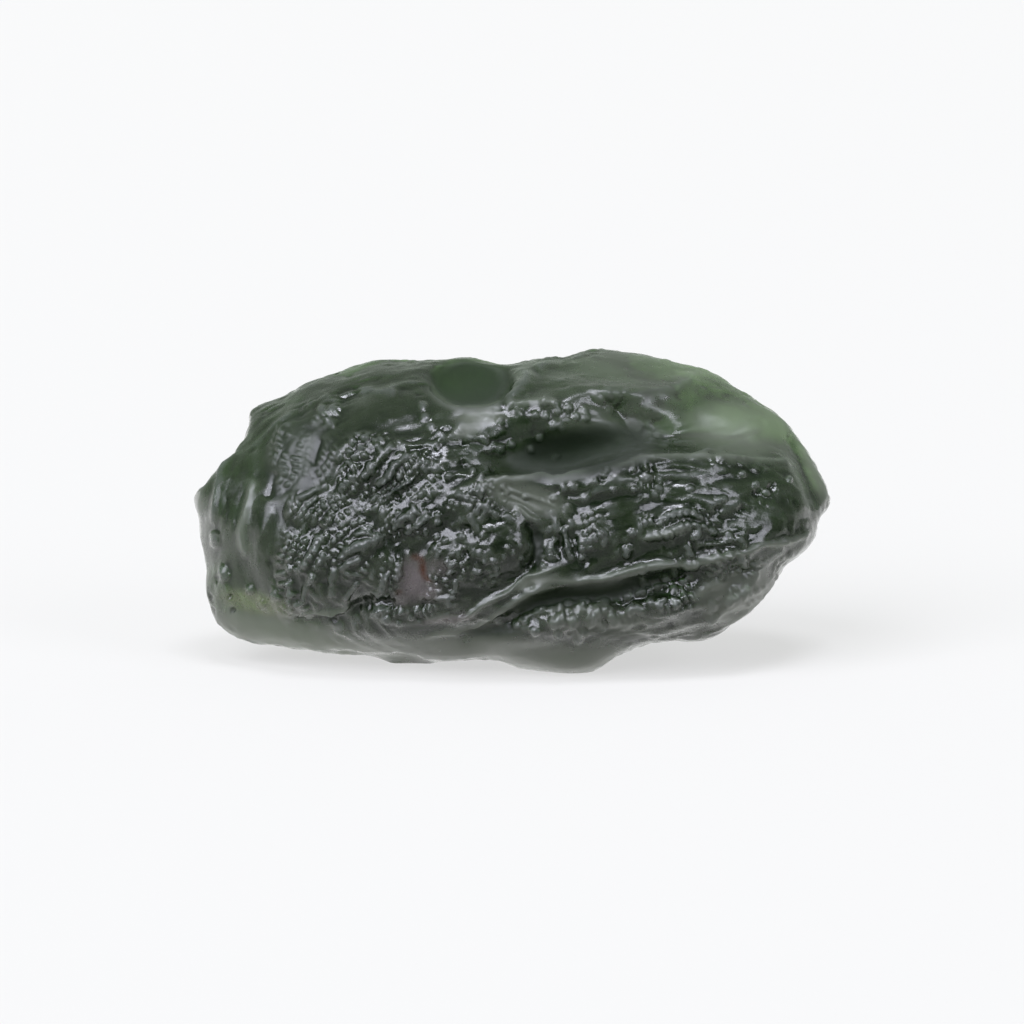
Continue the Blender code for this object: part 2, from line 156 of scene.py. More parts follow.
# The floor: half its side, in metres, and its colour
FLOOR_REACH = 4.0
FLOOR_COLOUR = (0.175, 0.175, 0.162, 1)

# How brightly the stone sees the floor in front and underneath, and where it changes, in metres
UNDER_STONE = (-0.010, -0.003)
FLOOR_GLOW = (0.25, 1.2)

# How brightly the camera sees the floor near and far, and where it changes, in metres
SEEN_FLOOR = (-0.065, 0.265)
SEEN_FLOOR_GLOW = (0.595, 0.67)

# What the camera sees behind the floor
BACKDROP = (0.956, 0.956, 0.956, 1)

# How far the softboxes stand from the stone, in metres, and their colour
SOFTBOX_DISTANCE = 1.6
SOFTBOX_COLOUR = (0.87, 0.87, 1.0)

# The line about which the flutes curve, left to right on the face, in photograph pixels
SPINE = ((430, 585), (790, 520))


def smoothstep(low, high, value):
    """0 below low, 1 above high, and an even curve between them."""
    share = np.clip((value - low) / (high - low), 0, 1)
    return share * share * (3 - 2 * share)


def curve_through(points, steps=5):
    """The points of a smooth open curve that passes through the given ones."""
    points = np.array(points, float)
    before = np.vstack([2 * points[0] - points[1], points[:-1]])
    after = np.vstack([points[1:], 2 * points[-1] - points[-2]])
    slopes = (after - before) / 2
    drawn = []
    for start, end, leave, arrive in zip(points, points[1:], slopes, slopes[1:]):
        for t in np.linspace(0, 1, steps, endpoint=False):
            drawn.append(
                start * (2 * t**3 - 3 * t**2 + 1)
                + leave * (t**3 - 2 * t**2 + t)
                + end * (3 * t**2 - 2 * t**3)
                + arrive * (t**3 - t**2)
            )
    return np.array([*drawn, points[-1]])


def follow(line, places):
    """Distance from a curve, positive on its left, how far along it each place is, and its length."""
    drawn = curve_through(line)
    lengths = np.hypot(*(drawn[1:] - drawn[:-1]).T)
    passed = np.concatenate([[0], np.cumsum(lengths)])
    distance = np.full(len(places), 1e6)
    along = np.zeros(len(places))
    for start, end, length, before in zip(drawn, drawn[1:], lengths, passed):
        step = (end - start) / length
        off = places - start
        gone = np.clip(off @ step, 0, length)
        off = off - gone[:, None] * step
        side = np.where(step[0] * off[:, 1] - step[1] * off[:, 0] < 0, -1, 1)
        away = np.hypot(*off.T)
        nearer = away < np.abs(distance)
        distance = np.where(nearer, side * away, distance)
        along = np.where(nearer, before + gone, along)
    return distance, along, passed[-1]


def on_face(marks):
    """Millimetres right and up from the face's middle, as the camera sees it, for photograph pixels."""
    marks = np.array(marks, float)
    return (marks - PHOTO_SIDE / 2) * MM_PER_PIXEL * (1, -1)


def wave(points, size, shift=0.0):
    """A soft random swell from about -1 to 1, with lumps of the given size in millimetres."""
    scaled = points / size + shift
    return np.array([noise.noise(p) for p in scaled.tolist()])


def swells(points, size, layers=3, shift=0.0):
    """Layers of random swell, each half as long and half as high as the one before."""
    total = np.zeros(len(points))
    for layer in range(layers):
        total += wave(points, size / 2**layer, shift + 7.3 * layer) / 2**layer
    return total


def cells(points):
    """Distance to the nearest and to the next of the random points that fill space one to a unit."""
    return np.array([noise.voronoi(p)[0][:2] for p in points.tolist()]).T


# What the skin remembers for the material, each from 0 to 1, but for row and rung, which count the beads
# across the rows and along them
# Of these, deep holds painted shade, pale holds painted glow and highlights, and the frosted crest tops carry a
# painted sheen
MARKS = ("beaded", "row", "rung", "calm", "deep", "frost_and_sheen", "pale", "moss", "pink", "red")


class Skin:
    """The fine skin of the stone while it is worked: its points and facings, and how it looks head on."""

    def __init__(self, mesh):
        count = len(mesh.vertices)
        points = np.empty(count * 3)
        mesh.vertices.foreach_get("co", points)
        normals = np.empty(count * 3, np.float32)
        mesh.vertex_normals.foreach_get("vector", normals)
        self.points = points.reshape(-1, 3)
        self.normals = normals.reshape(-1, 3).astype(float)
        off = self.points - FACE_MIDDLE
        tilt_cos, tilt_sin = cos(CAMERA_ELEVATION), sin(CAMERA_ELEVATION)
        away = off[:, 1] * tilt_cos - off[:, 2] * tilt_sin
        up = off[:, 1] * tilt_sin + off[:, 2] * tilt_cos
        nearness = CAMERA_DISTANCE / (CAMERA_DISTANCE + away)
        self.away = away
        self.seen = np.column_stack([off[:, 0], up]) * nearness[:, None]
        toward = -self.normals[:, 1] * tilt_cos + self.normals[:, 2] * tilt_sin
        self.facing = smoothstep(0.0, 0.3, toward)
        self.edge_on = np.exp(-((toward / 0.3) ** 2))
        edges = np.empty(len(mesh.edges) * 2, np.int32)
        mesh.edges.foreach_get("vertices", edges)
        self.edges = edges.reshape(-1, 2)
        self.stands = np.zeros(count)
        self.marks = {name: np.zeros(count) for name in MARKS}

    def local_mean(self, values, passes):
        """The values, each evened with its neighbours' several times over."""
        first, second = self.edges.T
        count = len(values)
        meeting = np.bincount(first, minlength=count) + np.bincount(second, minlength=count)
        for _ in range(passes):
            total = np.bincount(first, values[second], count) + np.bincount(second, values[first], count)
            values = 0.5 * values + 0.5 * total / meeting
        return values

    def near(self, line, reach):
        """Which points of the face lie in the box round a line, widened by the reach."""
        low, high = line.min(0) - reach, line.max(0) + reach
        inside = (self.seen > low).all(1) & (self.seen < high).all(1) & (self.facing > 0)
        return np.flatnonzero(inside)


# The tools below press one kind of form into the face


def press_crest(skin, marks, width, height, ends=0.2):
    """A sharp-topped crest along a line, or a groove where the height is negative."""
    line = on_face(marks)
    found = skin.near(line, 3 * width)
    distance, along, length = follow(line, skin.seen[found])
    share = along / length
    taper = smoothstep(0, ends, share + 0.02) * smoothstep(0, ends, 1.02 - share)
    across = np.exp(-np.abs(distance / width) ** 1.4)
    skin.stands[found] += HAND * height * across * taper * skin.facing[found]
    # Narrow crests are marked frosted along their tops, which roughens them and paints a pale sheen there
    if height > 0 and width < FROSTED_WIDTH:
        skin.marks["frost_and_sheen"][found] = np.maximum(skin.marks["frost_and_sheen"][found], across * taper)


def press_lip(skin, marks, width, height):
    """A crest that falls off sharply on the left of its line and slowly on the right."""
    line = on_face(marks)
    found = skin.near(line, 5 * width)
    distance, along, length = follow(line, skin.seen[found])
    share = along / length
    taper = smoothstep(0, 0.12, share) * smoothstep(0, 0.12, 1 - share)
    stretched = np.where(distance > 0, distance / (0.35 * width), distance / (1.6 * width))
    skin.stands[found] += height * np.exp(-(stretched**2)) * taper * skin.facing[found]


def mark_beads(skin, found, strength, row, rung):
    """Remembers the beads on these points, where no stronger ones are marked already."""
    stronger = strength > skin.marks["beaded"][found]
    for name, values in (("beaded", strength), ("row", row), ("rung", rung)):
        skin.marks[name][found] = np.where(stronger, values, skin.marks[name][found])


def press_comb(skin, marks, width, height, slant=0.35):
    """A rounded mound along a line, crossed by fine rungs that lean like a comb's teeth."""
    line = on_face(marks)
    found = skin.near(line, 2 * width)
    distance, along, length = follow(line, skin.seen[found])
    share = along / length
    taper = smoothstep(-0.02, 0.12, share) * smoothstep(-0.02, 0.12, 1 - share)
    mound = np.clip(1 - (distance / width) ** 2, 0, 1) ** 1.3 * taper * skin.facing[found]
    skin.stands[found] += HAND * height * mound
    mark_beads(skin, found, mound, np.zeros(len(found)), (along + slant * distance) / FINE_RUNG_PITCH)


def press_rows(skin, middle, radii, turn, pitch, height):
    """A patch of beads in rows, which run at the turn, in degrees anticlockwise from the right."""
    inside = patch(skin, middle, radii, 0.0, 0.45)
    found = np.flatnonzero(inside > 0)
    off = skin.seen[found] - on_face(middle)
    bend = swells(skin.points[found], 1.6, 2, middle[0] / 7)
    fade = smoothstep(-0.35, 0.1, wave(skin.points[found], 0.9, middle[1] / 5))
    cosine, sine = cos(radians(turn)), sin(radians(turn))
    along = off[:, 0] * cosine + off[:, 1] * sine - 0.25 * bend
    across = off[:, 1] * cosine - off[:, 0] * sine + 0.45 * bend
    row, rung = across / pitch, along / RUNG_PITCH
    domes = (0.5 + 0.5 * np.cos(2 * pi * row)) * (0.5 + 0.5 * np.cos(2 * pi * rung))
    strength = inside[found] * fade
    skin.stands[found] += HAND * height * domes**0.8 * strength
    mark_beads(skin, found, strength, row, rung)
    skin.stands[found] += ROW_MOUND * inside[found]


def press_beads(skin, marks, radius, height):
    """Round drops that stand on the skin, one at each place."""
    radius = BEAD_SPREAD * radius
    for middle in on_face(marks):
        found = skin.near(middle[None, :], 1.3 * radius)
        off = np.hypot(*(skin.seen[found] - middle).T) / radius
        dome = np.clip(1 - off**2, 0, 1)
        skin.stands[found] += HAND * height * dome * skin.facing[found]


def oval(skin, middle, radii, turn=0.0):
    """How far out of an oval on the face each point is: 0 at its middle and 1 on its edge."""
    across, along = (skin.seen - on_face(middle)).T
    cosine, sine = cos(radians(turn)), sin(radians(turn))
    x = (across * cosine + along * sine) / (radii[0] * MM_PER_PIXEL)
    y = (along * cosine - across * sine) / (radii[1] * MM_PER_PIXEL)
    return np.hypot(x, y)


def patch(skin, middle, radii, turn=0.0, soft=0.35):
    """1 inside an oval on the face and 0 outside it, with a soft edge."""
    return (1 - smoothstep(1 - soft, 1 + soft, oval(skin, middle, radii, turn))) * skin.facing


# Where the face is smooth: the middle of each oval, its radii in photograph pixels, its turn in degrees
# anticlockwise, and how smooth it is
CALM = (
    ((476, 385), (40, 26), 0, 1.0),
    ((478, 420), (26, 13), 0, 0.8),
    ((558, 458), (64, 22), 4, 0.85),
    ((735, 430), (52, 27), -8, 0.9),
    ((635, 372), (62, 20), 0, 0.8),
    ((622, 440), (38, 20), -20, 0.6),
    ((610, 591), (90, 12), 7, 0.95),
    ((690, 570), (60, 9), 12, 0.8),
    ((480, 650), (170, 17), 0, 0.85),
    ((580, 662), (70, 16), 0, 1.0),
    ((812, 470), (20, 50), 20, 0.8),
    ((512, 549), (22, 24), 0, 0.7),
    ((415, 580), (14, 20), -10, 0.8),
    ((780, 510), (28, 20), 0, 0.5),
    ((400, 412), (66, 24), 2, 0.85),
    ((375, 368), (70, 20), 6, 0.6),
    ((255, 600), (50, 18), -12, 0.6),
    ((235, 500), (58, 110), 8, 0.75),
    ((318, 388), (44, 20), 40, 0.6),
    ((270, 640), (80, 30), -14, 0.8),
    ((700, 400), (80, 36), -16, 0.7),
    ((560, 380), (50, 20), 0, 0.5),
    ((525, 498), (38, 14), -14, 0.8),
    ((300, 450), (38, 60), -22, 0.6),
)

# Where painted shade darkens the glass to a deep green in the scoop, troughs and grooves, and the skin is
# rougher so that it reflects little, given in the same way
PAINTED_SHADE_PLACES = (
    ((470, 384), (38, 25), 0, 1.0),
    ((585, 452), (72, 24), 10, 0.9),
    ((585, 595), (72, 10), 10, 0.6),
    ((539, 548), (4, 20), 0, 0.5),
    ((492, 631), (34, 6), 2, 0.5),
    ((612, 633), (34, 5), -8, 0.4),
    ((420, 624), (14, 5), 10, 0.4),
    ((300, 458), (34, 44), -22, 0.28),
)

# Where the skin is painted paler, as painted glow of light through thin glass and painted highlights and
# reflections, given in the same way
PAINTED_GLOW_PLACES = (
    ((735, 428), (52, 26), -8, 1.0),
    ((816, 466), (10, 46), 22, 0.8),
    ((640, 368), (70, 18), -4, 0.5),
    ((525, 498), (40, 15), -14, 0.8),
    ((530, 584), (26, 5), 14, 0.7),
    ((740, 595), (40, 26), 30, 0.7),
    ((560, 660), (120, 14), 0, 0.6),
    ((430, 650), (150, 12), 0, 0.6),
    ((290, 640), (90, 20), -14, 0.8),
    ((640, 405), (90, 30), 0, 0.35),
    ((481, 417), (25, 8), 3, 0.9),
    ((470, 427), (15, 8), 25, 0.8),
    ((600, 620), (60, 14), 0, 0.5),
)

# The red-brown stain and the pinkish skin round it, given in the same way
REDDENED = (
    ((423, 567), (3.5, 11), 8, 1.0),
    ((427, 577), (6, 3), -35, 0.9),
    ((418, 558), (7, 2.5), -10, 0.8),
    ((399, 592), (4, 3), 0, 0.5),
)
PINKISH = (
    ((414, 578), (14, 20), -8, 1.0),
    ((438, 566), (12, 8), -10, 0.5),
    ((426, 590), (14, 10), 0, 0.7),
    ((449, 619), (24, 5), 6, 0.7),
    ((402, 598), (8, 6), 0, 0.6),
)

# The yellow-green patch: its middle, radii, turn and softness
MOSSY = ((256, 603), (34, 10), -12, 0.5)

# The left foot, which runs into the stone above it without a ledge: its middle, its radii in photograph
# pixels, and how many times its depth is evened
LEFT_FOOT = ((408, 652), (50, 16))
FOOT_PASSES = 240

# Where the etching is strong: the middle of each oval, its radii, its turn, and how strong it is
ETCHED = (
    ((410, 500), (95, 60), 20, 1.0),
    ((350, 570), (75, 55), 30, 1.0),
    ((440, 580), (50, 45), 0, 0.9),
    ((560, 540), (60, 25), 10, 0.8),
    ((680, 520), (110, 40), 8, 0.35),
    ((600, 620), (110, 22), 4, 1.0),
    ((302, 440), (30, 34), 0, 1.0),
    ((720, 600), (60, 35), 30, 0.7),
)

# Sharp crests: places along each, width and height in millimetres
CRESTS = (
    (((486, 482), (500, 480), (526, 478), (542, 475), (556, 479), (575, 475), (597, 469)), 0.12, 0.14),
    (((597, 469), (628, 463), (645, 457), (680, 456), (740, 459), (790, 463), (803, 470)), 0.12, 0.12),
    (((430, 378), (433, 391), (442, 401), (455, 408), (468, 409), (492, 407), (505, 398)), 0.13, 0.10),
    (((503, 406), (517, 405), (534, 402), (545, 402), (560, 401)), 0.16, 0.12),
    (((503, 405), (514, 396), (523, 386), (529, 369)), 0.35, 0.14),
    (((536, 372), (546, 364), (560, 358)), 0.30, 0.10),
    (((590, 390), (612, 392), (640, 394), (668, 390), (685, 384), (700, 372)), 0.28, 0.14),
    (((614, 404), (620, 412), (633, 430), (650, 442)), 0.30, -0.14),
    (((690, 455), (710, 452), (740, 444), (765, 430)), 0.22, 0.12),
    (((357, 394), (371, 392), (386, 393), (400, 391)), 0.25, 0.10),
    (((514, 506), (522, 511), (531, 518), (540, 521)), 0.10, 0.11),
    (((500, 487), (515, 492), (532, 497), (548, 503), (560, 509)), 0.08, 0.06),
    (((497, 493), (512, 498), (528, 505), (545, 513)), 0.07, 0.06),
    (((525, 519), (535, 532), (538, 548), (534, 563), (524, 574)), 0.20, -0.22),
    (((559, 530), (560, 545), (562, 562)), 0.13, -0.14),
    (((574, 526), (575, 540), (576, 556)), 0.16, -0.12),
    (
        ((445, 626), (462, 619), (485, 602), (500, 596), (512, 591), (526, 580), (543, 573), (562, 565)),
        0.12, 0.14,
    ),
    (((418, 640), (440, 633), (470, 630), (500, 612), (520, 598), (539, 588), (564, 585)), 0.12, 0.12),
    (((564, 585), (586, 580), (606, 579), (630, 570), (660, 565), (700, 562), (740, 552)), 0.13, 0.14),
    (((690, 560), (740, 553), (760, 545), (800, 537), (815, 528)), 0.11, 0.13),
    (((640, 540), (660, 535), (690, 528)), 0.12, 0.12),
    (((425, 620), (445, 615), (465, 617), (480, 610)), 0.12, 0.11),
    (((300, 610), (320, 612), (340, 611), (350, 605)), 0.12, 0.12),
    (((345, 612), (372, 603), (398, 601)), 0.26, -0.20),
    (((455, 640), (475, 634), (495, 628), (520, 618)), 0.34, -0.20),
    (((290, 620), (315, 622), (345, 616)), 0.15, -0.14),
    (((309, 455), (302, 474), (295, 490), (285, 500), (275, 500)), 0.26, 0.06),
    (((330, 375), (300, 398), (289, 415), (272, 430), (262, 440), (256, 455), (255, 475)), 0.40, 0.05),
    (((255, 475), (250, 500), (243, 530), (245, 548), (250, 560)), 0.20, 0.14),
    (((345, 400), (325, 418), (312, 436), (306, 455)), 0.30, 0.04),
    (((322, 436), (315, 452), (312, 468)), 0.16, -0.10),
    (((275, 470), (270, 485), (266, 500)), 0.20, -0.12),
    (((232, 440), (222, 470), (216, 500), (214, 530)), 0.22, 0.12),
    (((205, 450), (200, 480), (202, 520)), 0.18, 0.08),
    (
        ((480, 604), (509, 592), (525, 584), (550, 581), (580, 581), (618, 575), (643, 569), (690, 560)),
        0.13, 0.03,
    ),
    (((782, 425), (796, 450), (808, 480), (815, 510)), 0.26, -0.1),
    (((705, 625), (722, 608), (740, 592), (758, 575)), 0.28, 0.13),
    (((722, 628), (742, 612), (760, 596), (775, 580)), 0.28, 0.13),
    (((690, 600), (705, 590), (722, 580)), 0.2, 0.10),
    (((745, 570), (765, 556), (785, 545)), 0.28, 0.12),
)

# Patches of side-by-side rows: the middle and radii of each, which way its rows run in degrees anticlockwise
# from the right, and its pitch and height in millimetres
ROWS = (
    ((364, 468), (46, 32), 38, 0.42, 0.13),
    ((404, 520), (32, 20), 30, 0.36, 0.12),
    ((352, 552), (34, 28), 52, 0.36, 0.12),
    ((304, 572), (26, 46), 72, 0.40, 0.13),
    ((474, 500), (28, 16), -22, 0.34, 0.11),
    ((415, 478), (28, 22), 42, 0.38, 0.10),
    ((676, 524), (36, 16), 5, 0.34, 0.10),
    ((590, 530), (18, 18), 25, 0.34, 0.10),
    ((322, 508), (30, 18), 40, 0.38, 0.11),
    ((446, 575), (18, 34), 80, 0.34, 0.11),
    ((386, 578), (16, 22), 60, 0.34, 0.11),
    ((480, 566), (24, 20), 30, 0.36, 0.09),
    ((412, 614), (36, 10), 10, 0.34, 0.11),
    ((580, 618), (62, 15), 24, 0.40, 0.07),
    ((668, 595), (34, 16), 20, 0.36, 0.11),
    ((735, 575), (30, 26), 35, 0.42, 0.11),
    ((324, 412), (18, 16), 55, 0.36, 0.10),
    ((290, 455), (18, 34), 65, 0.40, 0.10),
)

# Shelves that slope out towards a lip and fall back sharply on the left of it
SHELVES = (
    (((506, 424), (496, 434), (480, 438), (465, 434), (452, 424)), 0.45, 0.12),
)

# Mounds crossed by rungs: places along each, half width and height in millimetres
COMBS = (
    (((320, 533), (317, 545), (308, 560), (300, 571)), 0.20, 0.13),
    (((316, 572), (309, 581), (305, 590), (303, 606)), 0.17, 0.11),
    (((292, 579), (290, 595), (291, 613)), 0.16, 0.10),
    (((336, 566), (334, 578), (333, 598)), 0.24, 0.11),
    (((345, 600), (352, 590), (360, 580)), 0.16, 0.10),
    (((340, 558), (352, 550), (368, 543), (384, 540)), 0.26, 0.12),
    (((342, 569), (352, 562), (362, 557)), 0.18, 0.09),
    (((355, 535), (370, 534), (385, 540)), 0.14, 0.09),
    (((394, 528), (405, 519), (418, 508)), 0.20, 0.12),
    (((406, 532), (418, 523), (430, 514)), 0.20, 0.11),
    (((297, 500), (308, 494), (318, 488)), 0.14, 0.10),
    (((305, 508), (311, 503), (318, 497)), 0.12, 0.08),
    (((392, 493), (402, 485), (413, 477)), 0.16, 0.12),
    (((380, 500), (395, 492), (415, 478)), 0.13, 0.07),
    (((350, 470), (360, 458), (374, 447), (386, 440)), 0.22, 0.10),
    (((362, 480), (373, 468), (384, 456), (395, 446)), 0.22, 0.12),
    (((378, 484), (390, 473), (399, 462)), 0.20, 0.13),
    (((340, 492), (348, 484), (357, 475)), 0.20, 0.10),
    (((455, 492), (470, 500), (486, 508), (500, 519)), 0.20, 0.10),
    (((552, 540), (550, 551), (552, 561)), 0.20, 0.12),
    (((564, 526), (566, 538), (568, 548), (570, 556)), 0.13, 0.17),
    (((592, 527), (600, 531), (608, 535)), 0.10, 0.12),
    (((596, 533), (602, 536), (607, 540)), 0.09, 0.10),
    (((660, 520), (675, 514), (690, 513), (703, 520)), 0.20, 0.11),
    (((662, 532), (680, 527), (698, 526), (712, 532)), 0.16, 0.10),
    (((700, 545), (716, 543), (732, 540), (745, 538)), 0.18, 0.10),
    (((434, 546), (440, 552), (436, 558)), 0.14, 0.13),
    (((446, 558), (452, 566), (449, 574)), 0.20, 0.14),
    (((455, 578), (456, 588), (452, 597)), 0.16, 0.13),
    (((400, 562), (399, 572), (396, 580)), 0.15, 0.12),
    (((388, 572), (384, 582), (382, 592)), 0.18, 0.12),
)

# Drops that catch the light: their places, radius and height in millimetres
BEADS = (
    (
        ((404, 517), (413, 518), (424, 520), (438, 515), (438, 522), (426, 531), (437, 537), (361, 521)),
        0.13, 0.11,
    ),
    (
        ((355, 524), (325, 507), (291, 569), (325, 557), (400, 522), (419, 524), (445, 540), (462, 536)),
        0.12, 0.10,
    ),
    (
        ((402, 610), (418, 608), (412, 615), (400, 622), (430, 606), (449, 602), (449, 596), (476, 570)),
        0.13, 0.11,
    ),
    (((387, 619), (379, 608), (386, 607)), 0.20, 0.15),
    (
        ((366, 440), (353, 444), (380, 451), (341, 457), (364, 451), (356, 468), (428, 463), (449, 476)),
        0.14, 0.11,
    ),
    (((372, 466), (373, 472), (367, 476), (382, 480), (393, 466), (391, 472), (389, 476)), 0.15, 0.13),
    (((399, 463), (400, 475), (367, 486), (408, 481), (390, 497), (344, 498), (381, 502)), 0.12, 0.10),
    (((423, 406), (425, 417), (431, 427), (441, 434), (435, 446)), 0.18, 0.08),
    (
        ((459, 496), (479, 495), (489, 501), (503, 487), (506, 492), (473, 470), (481, 477), (525, 497)),
        0.13, 0.10,
    ),
    (
        ((511, 444), (530, 449), (500, 449), (556, 458), (539, 437), (554, 425), (535, 415), (546, 416)),
        0.15, 0.10,
    ),
    (
        ((545, 403), (556, 404), (558, 411), (569, 408), (576, 416), (584, 411), (586, 417), (500, 420)),
        0.16, 0.11,
    ),
    (((607, 470), (603, 476), (613, 490), (633, 470), (634, 490), (553, 499), (597, 480)), 0.12, 0.10),
    (
        ((543, 566), (571, 557), (581, 550), (582, 558), (604, 543), (632, 533), (626, 550), (626, 555)),
        0.14, 0.12,
    ),
    (
        ((508, 547), (520, 545), (513, 553), (521, 558), (504, 556), (472, 577), (480, 585), (496, 574)),
        0.10, 0.07,
    ),
    (((538, 612), (545, 611), (553, 613), (560, 609), (568, 603), (581, 610)), 0.18, 0.12),
    (((584, 602), (604, 602), (592, 613), (600, 611), (609, 613), (596, 618), (613, 620)), 0.22, 0.13),
    (
        ((560, 619), (553, 622), (573, 621), (516, 624), (525, 619), (601, 627), (535, 631), (558, 633)),
        0.19, 0.12,
    ),
    (((582, 632), (578, 639), (641, 592), (628, 596), (634, 607), (630, 611), (590, 622)), 0.20, 0.11),
    (
        ((642, 569), (688, 546), (698, 545), (694, 537), (690, 553), (697, 534), (713, 531), (729, 536)),
        0.17, 0.12,
    ),
    (((687, 565), (695, 565), (674, 572), (665, 577), (690, 576), (684, 582), (643, 581)), 0.18, 0.13),
    (((674, 591), (684, 596), (660, 604), (650, 602), (657, 587), (676, 603), (640, 610)), 0.18, 0.11),
    (((718, 500), (755, 485), (766, 493), (742, 474), (690, 489), (723, 499), (788, 480)), 0.13, 0.11),
    (
        ((743, 544), (729, 553), (716, 553), (740, 560), (751, 575), (743, 590), (728, 598), (712, 604)),
        0.19, 0.11,
    ),
    (((323, 412), (334, 413), (331, 424), (215, 536), (216, 543)), 0.20, 0.10),
    (((223, 570), (225, 576), (275, 595), (250, 590), (262, 604)), 0.18, 0.10),
)

# Small sharp pits: their places, radius and depth in millimetres
PITS = (
    (((718, 509), (756, 493), (771, 488), (697, 595)), 0.16, 0.11),
    (((230, 597), (233, 610)), 0.10, 0.14),
    (((466, 553), (398, 498), (655, 520)), 0.13, 0.10),
)


def flow_places(skin):
    """Coordinates that run with the flutes: along them, across them, and through the stone."""
    start, end = on_face(SPINE)
    length = np.hypot(*(end - start))
    step = (end - start) / length
    side = np.array([-step[1], step[0]])
    off = skin.seen - start
    passed, beside = off @ step, off @ side
    over = passed - np.clip(passed, 0, length)
    across = np.hypot(over, beside)
    turn = np.arctan2(over, np.abs(beside) + 0.4)
    along = np.clip(passed, 0, length) + turn * (2.0 + 0.4 * across)
    across = across + 0.45 * skin.away
    through = 0.8 * skin.away + 0.6 * beside
    return np.column_stack([along, across, through])


def etch_all_round(skin):
    """The relief that covers the whole stone: long flutes, scallops with sharp edges, beads and grain."""
    flow = flow_places(skin)
    sway = np.column_stack([wave(skin.points, 2.4, shift) for shift in (3.1, 11.7, 23.9)])
    calm = skin.marks["calm"]
    rough = smoothstep(-0.35, 0.3, wave(skin.points, 3.2, 41.0))
    for middle, radii, turn, share in ETCHED:
        rough = np.maximum(rough, share * patch(skin, middle, radii, turn))
    rough = np.maximum(rough, 0.75 * (1 - skin.facing))
    for middle, radii, *_ in ROWS:
        rough *= 1 - 0.85 * patch(skin, middle, radii, 0.0, 0.45)
    rough = rough * (1 - 0.9 * calm)

    def from_middle(layer):
        sizes, sways, start, _ = layer
        nearest, _ = cells((flow + sways * sway) / sizes + start)
        return nearest

    def hollow(layer):
        return np.clip(from_middle(layer) / HOLLOW_REACH, 0, 1) ** 2 - 0.5

    skin.stands += FLUTES[-1] * hollow(FLUTES) * (1 - 0.75 * calm)
    depth = SCALLOPS[-1] + HIDDEN_SCALLOPS * (1 - skin.facing)
    skin.stands += depth * hollow(SCALLOPS) * (0.35 + 0.65 * rough) * (1 - 0.9 * calm)
    skin.stands += FINE_SCALLOPS[-1] * hollow(FINE_SCALLOPS) * (0.3 + 0.7 * rough) * (1 - 0.9 * calm)

    beads = smoothstep(0.0, 0.25, wave(skin.points, 1.7, 73.0)) * (1 - calm)
    skin.stands += DROPS[-1] * (1 - np.clip(from_middle(DROPS) / DROP_REACH, 0, 1) ** 2) * beads

    nearest, _ = cells(skin.points / PIT_CELL + 91.0)
    skin.stands -= PIT_DEPTH * (1 - smoothstep(0.05, 0.27, nearest)) * rough

    skin.stands += 0.025 * swells(skin.points, 0.5, 2, 5.0) * (0.3 + 0.7 * rough)
    skin.stands *= 1 - 0.5 * skin.edge_on


def etch_face(skin):
    """What the photograph shows on the broad face."""
    for marks, width, height in CRESTS:
        press_crest(skin, marks, width, height)
    for marks, width, height in SHELVES:
        press_lip(skin, marks, width, height)
    for middle, radii, turn, pitch, height in ROWS:
        press_rows(skin, middle, radii, turn, pitch, height)
    for marks, width, height in COMBS:
        press_comb(skin, marks, width, height)
    for marks, radius, height in BEADS:
        press_beads(skin, marks, radius, height)
    for marks, radius, depth in PITS:
        press_beads(skin, marks, radius, -depth)


def mark_colours(skin):
    """Where the glass is stained: a red-brown crescent with a pinkish floor, and a yellow-green patch; and
    where the skin gets painted glow and highlights, or painted shade.
    """
    for name, places in (("red", REDDENED), ("pink", PINKISH)):
        for middle, radii, turn, share in places:
            skin.marks[name] = np.maximum(skin.marks[name], share * patch(skin, middle, radii, turn, 0.6))
    # Painted glow and painted highlights and reflections, where the skin is marked pale
    for middle, radii, turn, share in PAINTED_GLOW_PLACES:
        skin.marks["pale"] = np.maximum(skin.marks["pale"], share * patch(skin, middle, radii, turn, 0.5))
    # Painted shade in the scoop, troughs and grooves, where the skin is marked deep
    for middle, radii, turn, share in PAINTED_SHADE_PLACES:
        skin.marks["deep"] = np.maximum(skin.marks["deep"], share * patch(skin, middle, radii, turn, 0.3))
    skin.marks["moss"] = patch(skin, *MOSSY)


def fine_skin():
    """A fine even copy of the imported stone, in millimetres."""
    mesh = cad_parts["moldavite"].data.copy()
    shape = bmesh.new()
    shape.from_mesh(mesh)
    bmesh.ops.remove_doubles(shape, verts=shape.verts, dist=1e-6)
    bmesh.ops.scale(shape, vec=Vector((1, 1, 1)) / MM, verts=shape.verts)
    shape.to_mesh(mesh)
    shape.free()
    rough = bpy.data.objects.new("rough_stone", mesh)
    bpy.context.scene.collection.objects.link(rough)
    rounded = rough.modifiers.new("rounded", "SUBSURF")
    rounded.levels = rounded.render_levels = 2
    even = rough.modifiers.new("even", "REMESH")
    even.mode = "VOXEL"
    even.voxel_size = VOXEL
    graph = bpy.context.evaluated_depsgraph_get()
    fine = bpy.data.meshes.new_from_object(rough.evaluated_get(graph))
    bpy.data.objects.remove(rough)
    shape = bmesh.new()
    shape.from_mesh(fine)
    for _ in range(SMOOTHINGS):
        bmesh.ops.smooth_vert(
            shape, verts=shape.verts, factor=0.5, use_axis_x=True, use_axis_y=True, use_axis_z=True
        )
    shape.to_mesh(fine)
    shape.free()
    return fine


